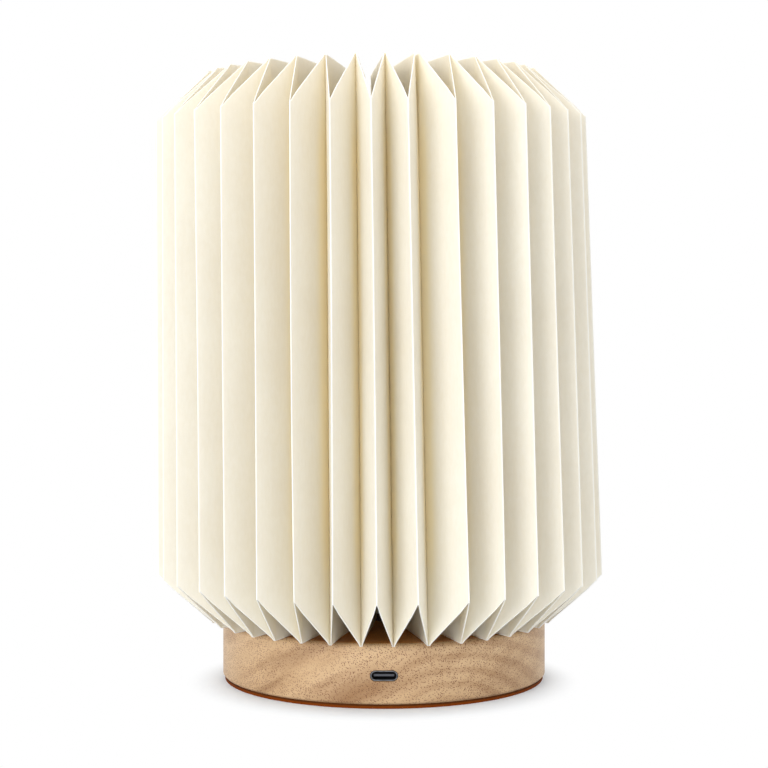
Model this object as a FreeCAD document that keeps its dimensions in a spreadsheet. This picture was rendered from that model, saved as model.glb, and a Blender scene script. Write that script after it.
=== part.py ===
import FreeCAD, Part
import math
import os
import re
import Sketcher

# A table lamp: a ring of deep paper pleats that stands on a hollow wooden base, round a light column.
# Millimetres, +Z up, origin at the bottom centre. The charging socket faces -Y.

SIZES = [
    # base
    ("base_radius", 57.5),
    ("wood_height", 20.0),
    ("rim_bevel", 1.1),
    ("rim_ease", 0.45),
    ("foot_chamfer", 0.6),
    ("cover_thick", 1.5),
    ("cover_inset", 0.7),
    ("cover_gap", 0.1),
    ("cavity_wall", 9.5),
    ("cavity_depth", 14.0),
    # screws of the bottom cover
    ("cover_screw_edge", 4.9),
    ("cover_screw_count", 3.0),
    ("cover_screw_turn", 0.0),
    ("cover_head_radius", 2.6),
    ("cover_head_height", 1.1),
    ("cover_shank_radius", 1.3),
    ("cover_shank_length", 8.0),
    ("hole_clear", 0.1),
    ("recess_length", 2.6),
    ("recess_width", 0.6),
    ("recess_depth", 0.6),
    # charging socket
    ("port_height", 11.0),
    ("port_bay_half", 9.0),
    ("port_wall", 3.0),
    ("port_clear", 0.22),
    ("shell_width", 8.94),
    ("shell_height", 3.26),
    ("shell_wall", 0.3),
    ("shell_length", 7.3),
    ("shell_sink", 0.3),
    ("shell_back", 0.8),
    ("tongue_width", 6.7),
    ("tongue_thick", 0.7),
    ("tongue_sink", 1.1),
    # main board
    ("board_half", 17.0),
    ("board_edge", 13.5),
    ("board_length", 28.0),
    ("board_thick", 1.6),
    ("board_clear", 0.4),
    ("board_hole_x", 13.5),
    ("board_hole_edge", 3.5),
    ("board_hole_pitch", 12.5),
    ("board_hole_radius", 1.3),
    ("spacer_radius", 2.4),
    ("board_shank_radius", 1.1),
    ("board_shank_bite", 4.0),
    ("board_head_radius", 2.1),
    ("board_head_height", 1.5),
    ("chip_side", 4.0),
    ("chip_height", 0.9),
    ("coil_radius", 3.0),
    ("coil_height", 3.0),
    ("plug_width", 6.0),
    ("plug_depth", 5.0),
    ("plug_height", 3.4),
    ("plug_setback", 1.0),
    ("lead_plug_x", -9.0),
    ("cell_plug_x", 5.0),
    ("switch_plug_x", 13.0),
    ("lead_pitch", 2.0),
    ("lead_radius", 0.6),
    ("lead_run", 4.0),
    ("lead_bend", 3.0),
    # battery
    ("cell_width", 35.0),
    ("cell_length", 25.0),
    ("cell_thick", 10.0),
    ("cell_edge", 16.5),
    ("cell_round", 2.0),
    ("pad_thick", 0.5),
    ("pad_margin", 3.0),
    # switch
    ("switch_height", 8.5),
    ("switch_bay_half", 7.0),
    ("switch_wall", 2.5),
    ("switch_board_half", 6.7),
    ("switch_board_thick", 1.2),
    ("switch_setback", 9.9),
    ("switch_side", 6.0),
    ("switch_thick", 3.0),
    ("switch_floor", 0.2),
    ("plunger_radius", 1.75),
    ("plunger_clear", 0.2),
    ("plunger_foot", 1.4),
    ("button_radius", 4.0),
    ("button_clear", 0.3),
    ("button_collar", 5.0),
    ("collar_thick", 1.2),
    ("button_proud", 1.0),
    ("button_chamfer", 0.5),
    # light column
    ("flange_radius", 13.0),
    ("flange_thick", 2.5),
    ("spigot_radius", 5.0),
    ("spigot_clear", 0.2),
    ("lead_bore", 3.2),
    ("flange_screw_circle", 8.2),
    ("flange_screw_count", 2.0),
    ("flange_screw_turn", 0.0),
    ("flange_head_radius", 2.1),
    ("flange_head_height", 1.5),
    ("flange_shank_radius", 1.2),
    ("flange_shank_length", 10.5),
    ("tube_radius", 12.0),
    ("tube_wall", 1.4),
    ("tube_length", 126.0),
    ("tube_clear", 0.2),
    ("foot_plug", 6.0),
    ("cap_plug", 5.0),
    ("cap_thick", 2.5),
    ("cap_chamfer", 1.0),
    ("strip_width", 14.0),
    ("strip_thick", 1.2),
    ("strip_bite", 3.0),
    ("strip_clear", 0.2),
    ("chip_count", 10.0),
    ("chip_long", 3.5),
    ("chip_wide", 2.8),
    ("chip_thick", 0.8),
    ("chip_pitch", 11.0),
    # shade
    ("pleat_count", 36.0),
    ("shade_radius", 78.5),
    ("tip_radius", 60.0),
    ("core_radius", 14.5),
    ("shade_height", 194.5),
    ("trim_height", 16.6),
    ("top_dish", 3.0),
    ("bottom_dish", 1.0),
    ("paper_thick", 0.4),
    ("layer_gap", 0.35),
    ("bend_reach", 3.0),
    ("seat_gap", 0.3),
    ("seam_turn", -75.0),
    ("seam_open", 6.0),
    ("tape_inner", 24.0),
    ("tape_width", 30.0),
    ("tape_margin", 4.0),
    # how far cutting shapes reach past the material that they cut
    ("overrun", 1.0),
]

doc = FreeCAD.newDocument("pleated_lamp")
sheet = doc.addObject("Spreadsheet::Sheet", "sizes")
for row, (alias, number) in enumerate(SIZES, start=1):
    cell = "A%d" % row
    sheet.set(cell, str(number))
    sheet.setAlias(cell, alias)
doc.recompute()

ALIASES = set(alias for alias, number in SIZES)
# Leads are drawn with six sides, and a bend takes at most this share of the run beside it.
LEAD_SIDES = 6
BEND_SHARE = 0.45
VOLUME_SLACK = 0.02
# Lengths closer than this are the same.
CLOSE = 0.001
# A turn about Z that a formula then replaces.
UP = FreeCAD.Vector(0, 0, 1)
FIRST_TURN = FreeCAD.Rotation(UP, 10)


def size(alias):
    """The number that a cell of the sheet holds."""
    return float(sheet.get(alias))


def formula(text):
    """A formula in plain aliases, as an expression on the sheet's cells."""
    return re.sub(r"[a-z_]+", lambda word: named(word.group(0)), text)


def named(word):
    return "sizes." + word if word in ALIASES else word


def bind(thing, **formulas):
    """Ties properties of an object to the sheet. An underscore pair in a name stands for a dot."""
    for path, text in formulas.items():
        thing.setExpression(path.replace("__", "."), formula(text))


# Heights that several pieces share, as formulas.
WOOD_TOP = "(cover_thick + wood_height)"
CEILING = "(cover_thick + cavity_depth)"
BOARD_TOP = "(port_height - shell_height / 2)"
BOARD_FLOOR = "(port_height - shell_height / 2 - board_thick)"
FLANGE_TOP = "(cover_thick + wood_height + flange_thick)"
TUBE_TOP = "(cover_thick + wood_height + flange_thick + tube_length)"
SHADE_FLOOR = "(cover_thick + wood_height + seat_gap)"

# Places along Y, counted from the outside of the base.
CAVITY_RADIUS = "(base_radius - cavity_wall)"
COVER_SCREW_CIRCLE = "(base_radius - cover_screw_edge)"
PORT_REACH = "(base_radius - port_wall)"
BOARD_FRONT = "(base_radius - board_edge)"
BOARD_REAR = "(base_radius - board_edge - board_length)"
HOLE_FRONT = "(base_radius - board_edge - board_hole_edge)"
HOLE_REAR = "(base_radius - board_edge - board_hole_edge - board_hole_pitch)"
HOLE_MIDDLE = "(base_radius - board_edge - board_hole_edge - board_hole_pitch / 2)"
CELL_REAR = "(base_radius - cell_edge)"
CELL_FRONT = "(base_radius - cell_edge - cell_length)"
SWITCH_REACH = "(base_radius - switch_wall)"
SWITCH_FRONT = "(base_radius - switch_setback)"
SWITCH_FACE = "(base_radius - switch_setback + switch_board_thick)"
COLLAR_FRONT = "(base_radius - switch_wall - button_clear - collar_thick)"


# ---------------------------------------------------------------- helpers for bodies and sketches


def new_body(label):
    body = doc.addObject("PartDesign::Body", label)
    body.Label = label
    return body


def origin_feature(body, role):
    for feature in body.Origin.OriginFeatures:
        if feature.Role == role:
            return feature
    raise ValueError("no origin feature " + role)


def new_sketch(body, role, offset="0", turn=None):
    """A sketch on an origin plane of its own body, moved along the plane's normal."""
    sketch = body.newObject("Sketcher::SketchObject", body.Name + "_sketch")
    sketch.AttachmentSupport = [(origin_feature(body, role), "")]
    sketch.MapMode = "FlatFace"
    bind(sketch, AttachmentOffset__Base__z=offset)
    if turn is not None:
        sketch.AttachmentOffset = FreeCAD.Placement(FreeCAD.Vector(0, 0, 0), FIRST_TURN)
        bind(sketch, AttachmentOffset__Rotation__Angle=turn)
    return sketch


def point(x, y):
    return FreeCAD.Vector(x, y, 0)


def name_last(sketch, text):
    """Ties the constraint that was added last to a formula."""
    index = sketch.ConstraintCount - 1
    sketch.setExpression("Constraints[%d]" % index, formula(text))


def add_distance(sketch, kind, geometry, corner, text):
    """The distance of a point from the sketch's origin, along one axis."""
    value = -1.0 if text.strip().startswith("-") else 1.0
    sketch.addConstraint(Sketcher.Constraint(kind, -1, 1, geometry, corner, value))
    name_last(sketch, text)


def add_circle(sketch, radius, x=None, y=None):
    start = point(-1.0 if x and x.startswith("-") else 1.0, -1.0 if y and y.startswith("-") else 1.0)
    circle = sketch.addGeometry(Part.Circle(start, UP, 1.0))
    sketch.addConstraint(Sketcher.Constraint("Radius", circle, 1.0))
    name_last(sketch, radius)
    for axis, kind, text in ((-2, "DistanceX", x), (-1, "DistanceY", y)):
        if text is None:
            sketch.addConstraint(Sketcher.Constraint("PointOnObject", circle, 3, axis))
        else:
            add_distance(sketch, kind, circle, 3, text)


def add_rectangle(sketch, left, right, low, high):
    corners = [point(-1, -1), point(1, -1), point(1, 1), point(-1, 1)]
    sides = []
    for index in range(4):
        line = Part.LineSegment(corners[index], corners[(index + 1) % 4])
        sides.append(sketch.addGeometry(line))
    for index in range(4):
        following = sides[(index + 1) % 4]
        sketch.addConstraint(Sketcher.Constraint("Coincident", sides[index], 2, following, 1))
        direction = "Horizontal" if index % 2 == 0 else "Vertical"
        sketch.addConstraint(Sketcher.Constraint(direction, sides[index]))
    add_distance(sketch, "DistanceX", sides[0], 1, left)
    add_distance(sketch, "DistanceX", sides[2], 1, right)
    add_distance(sketch, "DistanceY", sides[0], 1, low)
    add_distance(sketch, "DistanceY", sides[2], 1, high)


def add_polygon(sketch, corners):
    """A closed outline whose corners are pairs of formulas, with their rough places from the sheet."""
    places = [point(rough(x), rough(y)) for x, y in corners]
    count = len(corners)
    sides = []
    for index in range(count):
        line = Part.LineSegment(places[index], places[(index + 1) % count])
        sides.append(sketch.addGeometry(line))
    for index in range(count):
        following = sides[(index + 1) % count]
        sketch.addConstraint(Sketcher.Constraint("Coincident", sides[index], 2, following, 1))
    for side, (x, y) in zip(sides, corners):
        for kind, axis, text in (("DistanceX", -2, x), ("DistanceY", -1, y)):
            if text == "0":
                sketch.addConstraint(Sketcher.Constraint("PointOnObject", side, 1, axis))
            else:
                constraint = Sketcher.Constraint(kind, -1, 1, side, 1, rough(text))
                sketch.addConstraint(constraint)
                name_last(sketch, text)


def rough(text):
    """The value of a formula, found through the sheet's own expression engine."""
    return float(sheet.evalExpression(formula(text)))


def pad(body, sketch, length, reverse=False):
    feature = body.newObject("PartDesign::Pad", body.Name + "_pad")
    feature.Profile = sketch
    feature.Reversed = reverse
    bind(feature, Length=length)
    body.Tip = feature
    doc.recompute()
    return feature


def pocket(body, sketch, length, reverse=False):
    """A cut along the sketch's normal that has to take material away."""
    before = body.Shape.Volume
    feature = body.newObject("PartDesign::Pocket", body.Name + "_pocket")
    feature.Profile = sketch
    feature.Reversed = reverse
    bind(feature, Length=length)
    body.Tip = feature
    doc.recompute()
    check_cut(body, before)
    return feature


def groove(body, sketch):
    before = body.Shape.Volume
    feature = body.newObject("PartDesign::Groove", body.Name + "_groove")
    feature.Profile = sketch
    feature.ReferenceAxis = (sketch, ["V_Axis"])
    feature.Angle = 360
    body.Tip = feature
    doc.recompute()
    check_cut(body, before)
    return feature


def revolution(body, sketch):
    feature = body.newObject("PartDesign::Revolution", body.Name + "_revolution")
    feature.Profile = sketch
    feature.ReferenceAxis = (sketch, ["V_Axis"])
    feature.Angle = 360
    body.Tip = feature
    doc.recompute()
    return feature


def check_cut(body, before):
    if body.Shape.Volume >= before:
        raise ValueError("a cut took nothing away from " + body.Label)


def polar(body, original, count):
    """Copies a feature round the Z axis."""
    feature = body.newObject("PartDesign::PolarPattern", body.Name + "_pattern")
    feature.Originals = [original]
    feature.Axis = (origin_feature(body, "Z_Axis"), [""])
    feature.Angle = 360
    bind(feature, Occurrences=count)
    body.Tip = feature
    doc.recompute()
    return feature


def round_edges(body, radius, chosen):
    """A fillet on every edge of the body that the test chooses."""
    base = body.Tip
    names = []
    for index, edge in enumerate(base.Shape.Edges, start=1):
        if chosen(edge):
            names.append("Edge%d" % index)
    if not names:
        raise ValueError("no edge to round on " + body.Label)
    feature = body.newObject("PartDesign::Fillet", body.Name + "_fillet")
    feature.Base = (base, names)
    bind(feature, Radius=radius)
    body.Tip = feature
    doc.recompute()
    return feature


def bevel_edges(body, width, chosen):
    """A chamfer on every edge of the body that the test chooses."""
    base = body.Tip
    names = []
    for index, edge in enumerate(base.Shape.Edges, start=1):
        if chosen(edge):
            names.append("Edge%d" % index)
    if not names:
        raise ValueError("no edge to bevel on " + body.Label)
    feature = body.newObject("PartDesign::Chamfer", body.Name + "_chamfer")
    feature.Base = (base, names)
    bind(feature, Size=width)
    body.Tip = feature
    doc.recompute()
    return feature


def level_circle(radius, height):
    """A test for round edges of a given radius that lie level at a given height."""

    def chosen(edge):
        curve = edge.Curve
        if not isinstance(curve, Part.Circle):
            return False
        same_radius = abs(curve.Radius - radius) < CLOSE
        return same_radius and abs(curve.Center.z - height) < CLOSE and abs(curve.Axis.z) > 1 - CLOSE

    return chosen


# ---------------------------------------------------------------- helpers for simple solids


def place(thing, x="0", y="0", z="0"):
    bind(thing, Placement__Base__x=x, Placement__Base__y=y, Placement__Base__z=z)
    return thing


def new_box(label, width, depth, height, x="0", y="0", z="0"):
    """A box centred on x, whose near side is at y and whose underside is at z."""
    box = doc.addObject("Part::Box", label)
    bind(box, Length=width, Width=depth, Height=height)
    return place(box, "%s - (%s) / 2" % (x, width), y, z)


def new_cylinder(label, radius, height, x="0", y="0", z="0"):
    cylinder = doc.addObject("Part::Cylinder", label)
    bind(cylinder, Radius=radius, Height=height)
    return place(cylinder, x, y, z)


def new_cut(label, base, tool):
    cut = doc.addObject("Part::Cut", label)
    cut.Base = base
    cut.Tool = tool
    doc.recompute()
    if cut.Shape.Volume >= base.Shape.Volume:
        raise ValueError("a cut took nothing away from " + label)
    return cut


def new_fuse(label, members):
    fuse = doc.addObject("Part::MultiFuse", label)
    fuse.Shapes = members
    return fuse


def new_group(label, members):
    """Separate solids of one kind that share a name."""
    group = doc.addObject("Part::Compound", label)
    group.Links = members
    group.Label = label
    return group


def turned(radius, angle):
    """The formulas of a place on a circle round the Z axis."""
    return "%s * cos((%s) * 1 deg)" % (radius, angle), "%s * sin((%s) * 1 deg)" % (radius, angle)


# ---------------------------------------------------------------- base


def make_base_body():
    """The turned wooden base: hollow from below, with bays for the socket and the switch."""
    body = new_body("base_body")
    outline = new_sketch(body, "XY_Plane", "cover_thick")
    add_circle(outline, "base_radius")
    pad(body, outline, "wood_height")
    ease_rim(body)
    bevel_edges(body, "foot_chamfer", level_circle(size("base_radius"), size("cover_thick")))

    cavity = new_sketch(body, "XY_Plane", "cover_thick")
    add_circle(cavity, CAVITY_RADIUS)
    pocket(body, cavity, "cavity_depth", reverse=True)
    port_bay = new_sketch(body, "XY_Plane", "cover_thick")
    add_rectangle(port_bay, "-port_bay_half", "port_bay_half", "-" + PORT_REACH, "-" + BOARD_FRONT)
    pocket(body, port_bay, "cavity_depth", reverse=True)
    switch_bay = new_sketch(body, "XY_Plane", "cover_thick")
    add_rectangle(switch_bay, "-switch_bay_half", "switch_bay_half", CELL_REAR, SWITCH_REACH)
    pocket(body, switch_bay, "cavity_depth", reverse=True)

    socket_slot = new_sketch(body, "XZ_Plane", "base_radius")
    add_slot(socket_slot, "shell_width + 2 * port_clear", "shell_height + 2 * port_clear")
    pocket(body, socket_slot, "port_wall + overrun")
    switch_bore = new_sketch(body, "XZ_Plane", "-base_radius")
    add_circle(switch_bore, "button_radius + button_clear", y="switch_height")
    pocket(body, switch_bore, "switch_wall + overrun", reverse=True)

    spigot_bore = new_sketch(body, "XY_Plane", WOOD_TOP)
    add_circle(spigot_bore, "spigot_radius + spigot_clear")
    pocket(body, spigot_bore, "wood_height - cavity_depth + overrun")
    flange_hole = new_sketch(body, "XY_Plane", WOOD_TOP, turn="flange_screw_turn * 1 deg")
    add_circle(flange_hole, "flange_shank_radius + hole_clear", x="flange_screw_circle")
    hole = pocket(body, flange_hole, "wood_height - cavity_depth + overrun")
    polar(body, hole, "flange_screw_count")

    cover_hole = new_sketch(body, "XY_Plane", "cover_thick", turn="cover_screw_turn * 1 deg")
    add_circle(cover_hole, "cover_shank_radius + hole_clear", x=COVER_SCREW_CIRCLE)
    hole = pocket(body, cover_hole, "cover_shank_length", reverse=True)
    polar(body, hole, "cover_screw_count")
    for x, y in board_holes():
        pilot = new_sketch(body, "XY_Plane", CEILING)
        add_circle(pilot, "board_shank_radius + hole_clear", x=x, y=y)
        pocket(body, pilot, "board_shank_bite", reverse=True)
    return body


def ease_rim(body):
    """The softened upper rim: a bevel, whose own two edges are bevelled once more."""
    outer = size("base_radius")
    top = rough(WOOD_TOP)
    bevel_edges(body, "rim_bevel", level_circle(outer, top))
    upper = level_circle(outer - size("rim_bevel"), top)
    lower = level_circle(outer, top - size("rim_bevel"))
    bevel_edges(body, "rim_ease", lambda edge: upper(edge) or lower(edge))


def add_slot(sketch, width, height):
    """An upright slot with half-round ends, centred on the socket."""
    radius = rough("(%s) / 2" % height)
    half = rough("(%s) / 2" % width) - radius
    middle = size("port_height")
    right = Part.Circle(point(half, middle), UP, radius)
    left = Part.Circle(point(-half, middle), UP, radius)
    right = sketch.addGeometry(Part.ArcOfCircle(right, -math.pi / 2, math.pi / 2))
    left = sketch.addGeometry(Part.ArcOfCircle(left, math.pi / 2, 3 * math.pi / 2))
    top = Part.LineSegment(point(half, middle + radius), point(-half, middle + radius))
    top = sketch.addGeometry(top)
    low = Part.LineSegment(point(-half, middle - radius), point(half, middle - radius))
    low = sketch.addGeometry(low)
    sketch.addConstraint(Sketcher.Constraint("Tangent", right, 2, top, 1))
    sketch.addConstraint(Sketcher.Constraint("Tangent", top, 2, left, 1))
    sketch.addConstraint(Sketcher.Constraint("Tangent", left, 2, low, 1))
    sketch.addConstraint(Sketcher.Constraint("Tangent", low, 2, right, 1))
    sketch.addConstraint(Sketcher.Constraint("Symmetric", right, 3, left, 3, -2))
    sketch.addConstraint(Sketcher.Constraint("Horizontal", top))
    sketch.addConstraint(Sketcher.Constraint("Radius", right, radius))
    name_last(sketch, "(%s) / 2" % height)
    add_distance(sketch, "DistanceX", right, 3, "(%s) / 2 - (%s) / 2" % (width, height))
    add_distance(sketch, "DistanceY", right, 3, "port_height")


def make_bottom_cover():
    """The board under the base, with countersunk holes for its screws."""
    body = new_body("bottom_cover")
    outline = new_sketch(body, "XY_Plane")
    add_circle(outline, "base_radius - cover_inset")
    pad(body, outline, "cover_thick")
    through = new_sketch(body, "XY_Plane", turn="cover_screw_turn * 1 deg")
    add_circle(through, "cover_shank_radius + hole_clear", x=COVER_SCREW_CIRCLE)
    hole = pocket(body, through, "cover_thick", reverse=True)
    polar(body, hole, "cover_screw_count")
    sink = new_sketch(body, "XY_Plane", turn="cover_screw_turn * 1 deg")
    add_circle(sink, "cover_head_radius + hole_clear", x=COVER_SCREW_CIRCLE)
    seat = pocket(body, sink, "cover_head_height", reverse=True)
    polar(body, seat, "cover_screw_count")
    return body


def make_screw(label, head_radius, head_height, shank_radius, shank_length, x, y, z, up=1):
    """A pan-head screw with a cross recess. Its head's free face is at z and its shank goes up."""
    head = new_cylinder(label + "_head", head_radius, head_height, x, y, z)
    shank = new_cylinder(
        label + "_shank", shank_radius, "%s + %s" % (head_height, shank_length), x, y, z
    )
    whole = new_fuse(label + "_blank", [head, shank])
    low = new_recess(label, x, y, z)
    return new_cut(label, whole, low)


def new_recess(label, x, y, z):
    along = new_box(label + "_along", "recess_length", "recess_width", "recess_depth", x)
    bind(along, Placement__Base__y="%s - recess_width / 2" % y, Placement__Base__z=z)
    across = new_box(label + "_across", "recess_width", "recess_length", "recess_depth", x)
    bind(across, Placement__Base__y="%s - recess_length / 2" % y, Placement__Base__z=z)
    return new_fuse(label + "_recess", [along, across])


def make_cover_screws():
    screws = []
    for index in range(int(size("cover_screw_count"))):
        angle = "cover_screw_turn + 360 / cover_screw_count * %d" % index
        x, y = turned(COVER_SCREW_CIRCLE, angle)
        screws.append(
            make_screw(
                "cover_screw_%d" % index,
                "cover_head_radius",
                "(cover_head_height - cover_gap)",
                "cover_shank_radius",
                "cover_shank_length - cover_head_height",
                x,
                y,
                "cover_gap",
            )
        )
    return new_group("cover_screws", screws)


# ---------------------------------------------------------------- socket and main board


def make_usb_shell():
    """The steel shell of the socket: a flat tube with round sides, closed at its back."""
    body = new_body("usb_shell")
    outline = new_sketch(body, "XZ_Plane", "base_radius - shell_sink")
    add_slot(outline, "shell_width", "shell_height")
    pad(body, outline, "shell_length", reverse=True)
    hollow = new_sketch(body, "XZ_Plane", "base_radius - shell_sink")
    add_slot(hollow, "shell_width - 2 * shell_wall", "shell_height - 2 * shell_wall")
    pocket(body, hollow, "shell_length - shell_back")
    return body


def make_usb_tongue():
    length = "shell_length - shell_back - tongue_sink"
    front = "-base_radius + shell_sink + tongue_sink"
    low = "port_height - tongue_thick / 2"
    return new_box("usb_tongue", "tongue_width", length, "tongue_thick", "0", front, low)


def board_holes():
    """The places of the main board's two screws, set diagonally."""
    return [("-board_hole_x", "-" + HOLE_FRONT), ("board_hole_x", "-" + HOLE_REAR)]


def make_main_board():
    """A board with a tongue that carries the socket into its bay."""
    body = new_body("main_board")
    outline = new_sketch(body, "XY_Plane", BOARD_FLOOR)
    corners = [
        ("-board_half", "-" + BOARD_REAR),
        ("-board_half", "-" + BOARD_FRONT),
        ("-port_bay_half + board_clear", "-" + BOARD_FRONT),
        ("-port_bay_half + board_clear", "-%s + board_clear" % PORT_REACH),
        ("port_bay_half - board_clear", "-%s + board_clear" % PORT_REACH),
        ("port_bay_half - board_clear", "-" + BOARD_FRONT),
        ("board_half", "-" + BOARD_FRONT),
        ("board_half", "-" + BOARD_REAR),
    ]
    add_polygon(outline, corners)
    pad(body, outline, "board_thick")
    for x, y in board_holes():
        hole = new_sketch(body, "XY_Plane", BOARD_FLOOR)
        add_circle(hole, "board_hole_radius", x=x, y=y)
        pocket(body, hole, "board_thick", reverse=True)
    return body


def make_board_spacers():
    """Sleeves that set the board's distance from the wood."""
    spacers = []
    for index, (x, y) in enumerate(board_holes()):
        height = "%s - %s" % (CEILING, BOARD_TOP)
        name = "board_spacer_%d" % index
        sleeve = new_cylinder(name + "_sleeve", "spacer_radius", height, x, y, BOARD_TOP)
        bore = new_cylinder(name + "_bore", "board_hole_radius", height, x, y, BOARD_TOP)
        spacers.append(new_cut(name, sleeve, bore))
    return new_group("board_spacers", spacers)


def make_board_screws():
    screws = []
    for index, (x, y) in enumerate(board_holes()):
        start = "%s - board_head_height" % BOARD_FLOOR
        length = "%s - %s + board_shank_bite - hole_clear" % (CEILING, BOARD_FLOOR)
        screws.append(
            make_screw(
                "board_screw_%d" % index,
                "board_head_radius",
                "board_head_height",
                "board_shank_radius",
                length,
                x,
                y,
                start,
            )
        )
    return new_group("board_screws", screws)


def make_charge_chip():
    near = "-%s - chip_side / 2" % HOLE_MIDDLE
    x = "-board_hole_x / 2"
    return new_box("charge_chip", "chip_side", "chip_side", "chip_height", x, near, BOARD_TOP)


def make_power_coil():
    """A shielded coil in its round case."""
    x = "board_hole_x / 2"
    return new_cylinder("power_coil", "coil_radius", "coil_height", x, "-" + HOLE_MIDDLE, BOARD_TOP)


LEAD_PLUGS = ["lead_plug_x", "cell_plug_x", "switch_plug_x"]
PLUG_FACE = "(board_edge + board_length - base_radius - plug_setback)"


def make_lead_connectors():
    plugs = []
    for index, x in enumerate(LEAD_PLUGS):
        near = "%s - plug_depth" % PLUG_FACE
        plugs.append(
            new_box(
                "lead_connector_%d" % index,
                "plug_width",
                "plug_depth",
                "plug_height",
                x,
                near,
                BOARD_TOP,
            )
        )
    return new_group("lead_connectors", plugs)


# ---------------------------------------------------------------- battery


def make_battery_cell():
    """A flat cell with rounded sides, hung from the ceiling by its pad."""
    body = new_body("battery_cell")
    outline = new_sketch(body, "XY_Plane", "%s - pad_thick - cell_thick" % CEILING)
    add_rectangle(outline, "-cell_width / 2", "cell_width / 2", CELL_FRONT, CELL_REAR)
    pad(body, outline, "cell_thick")
    round_edges(body, "cell_round", along_y)
    return body


def along_y(edge):
    """A test for straight edges that run along Y."""
    if not isinstance(edge.Curve, Part.Line):
        return False
    return abs(abs(edge.Curve.Direction.y) - 1) < CLOSE


def make_battery_pad():
    width = "cell_width - 2 * pad_margin - 2 * cell_round"
    length = "cell_length - 2 * pad_margin"
    near = "%s + pad_margin" % CELL_FRONT
    return new_box("battery_pad", width, length, "pad_thick", "0", near, "%s - pad_thick" % CEILING)


# ---------------------------------------------------------------- switch


def make_switch_board():
    near = SWITCH_FRONT
    width = "2 * switch_board_half"
    return new_box(
        "switch_board", width, "switch_board_thick", "cavity_depth", "0", near, "cover_thick"
    )


def new_rod(label, radius, length, y):
    """A cylinder along +Y at the button's height, from y on."""
    rod = doc.addObject("Part::Cylinder", label)
    bind(rod, Radius=radius, Height=length)
    rod.Placement = FreeCAD.Placement(
        FreeCAD.Vector(0, 0, 0), FreeCAD.Rotation(FreeCAD.Vector(1, 0, 0), -90)
    )
    return place(rod, "0", y, "switch_height")


def make_switch_body():
    low = "switch_height - switch_side / 2"
    block = new_box(
        "switch_block", "switch_side", "switch_thick", "switch_side", "0", SWITCH_FACE, low
    )
    bore = new_rod(
        "switch_hollow",
        "plunger_radius + plunger_clear",
        "switch_thick",
        "%s + switch_floor" % SWITCH_FACE,
    )
    return new_cut("switch_body", block, bore)


def make_switch_plunger():
    start = "(%s + plunger_foot)" % SWITCH_FACE
    return new_rod("switch_plunger", "plunger_radius", "%s - %s" % (COLLAR_FRONT, start), start)


def make_switch_button():
    """A round cap in the rear of the base, kept in by its collar."""
    collar = new_rod("button_rim", "button_collar", "collar_thick", COLLAR_FRONT)
    length = "base_radius + button_proud - %s" % COLLAR_FRONT
    cap = new_rod("button_cap", "button_radius", length, COLLAR_FRONT)
    whole = new_fuse("button_blank", [collar, cap])
    doc.recompute()
    bevelled = doc.addObject("Part::Chamfer", "switch_button")
    bevelled.Base = whole
    outer = rough("base_radius + button_proud")
    edges = []
    for index, edge in enumerate(whole.Shape.Edges, start=1):
        if isinstance(edge.Curve, Part.Circle) and abs(edge.Curve.Center.y - outer) < CLOSE:
            edges.append((index, size("button_chamfer"), size("button_chamfer")))
    bevelled.Edges = edges
    return bevelled


# ---------------------------------------------------------------- light column


def make_column_flange():
    """The column's foot: a disc on the wood, a spigot in its bore and a plug in the tube."""
    body = new_body("column_flange")
    disc = new_sketch(body, "XY_Plane", WOOD_TOP)
    add_circle(disc, "flange_radius")
    pad(body, disc, "flange_thick")
    plug = new_sketch(body, "XY_Plane", FLANGE_TOP)
    add_circle(plug, "tube_radius - tube_wall - tube_clear")
    pad(body, plug, "foot_plug")
    spigot = new_sketch(body, "XY_Plane", WOOD_TOP)
    add_circle(spigot, "spigot_radius")
    pad(body, spigot, "wood_height - cavity_depth", reverse=True)
    bore = new_sketch(body, "XY_Plane", "%s + foot_plug" % FLANGE_TOP)
    add_circle(bore, "lead_bore")
    pocket(body, bore, "wood_height - cavity_depth + flange_thick + foot_plug + overrun")
    slot = new_sketch(body, "XY_Plane", "%s + foot_plug" % FLANGE_TOP)
    add_strip_slot(slot)
    pocket(body, slot, "strip_bite + strip_clear")
    hole = new_sketch(body, "XY_Plane", WOOD_TOP, turn="flange_screw_turn * 1 deg")
    add_circle(hole, "flange_shank_radius + hole_clear", x="flange_screw_circle")
    depth = "flange_shank_length - wood_height + cavity_depth + hole_clear"
    pilot = pocket(body, hole, depth, reverse=True)
    polar(body, pilot, "flange_screw_count")
    return body


def add_strip_slot(sketch):
    half_width = "strip_width / 2 + strip_clear"
    half_thick = "strip_thick / 2 + strip_clear"
    add_rectangle(sketch, "-(%s)" % half_width, half_width, "-(%s)" % half_thick, half_thick)


def make_flange_screws():
    screws = []
    for index in range(int(size("flange_screw_count"))):
        angle = "flange_screw_turn + 360 / flange_screw_count * %d" % index
        x, y = turned("flange_screw_circle", angle)
        screws.append(
            make_screw(
                "flange_screw_%d" % index,
                "flange_head_radius",
                "flange_head_height",
                "flange_shank_radius",
                "flange_shank_length",
                x,
                y,
                "%s - flange_head_height" % CEILING,
            )
        )
    return new_group("flange_screws", screws)


def make_diffuser_tube():
    body = new_body("diffuser_tube")
    outline = new_sketch(body, "XY_Plane", FLANGE_TOP)
    add_circle(outline, "tube_radius")
    add_circle(outline, "tube_radius - tube_wall")
    pad(body, outline, "tube_length")
    return body


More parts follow.
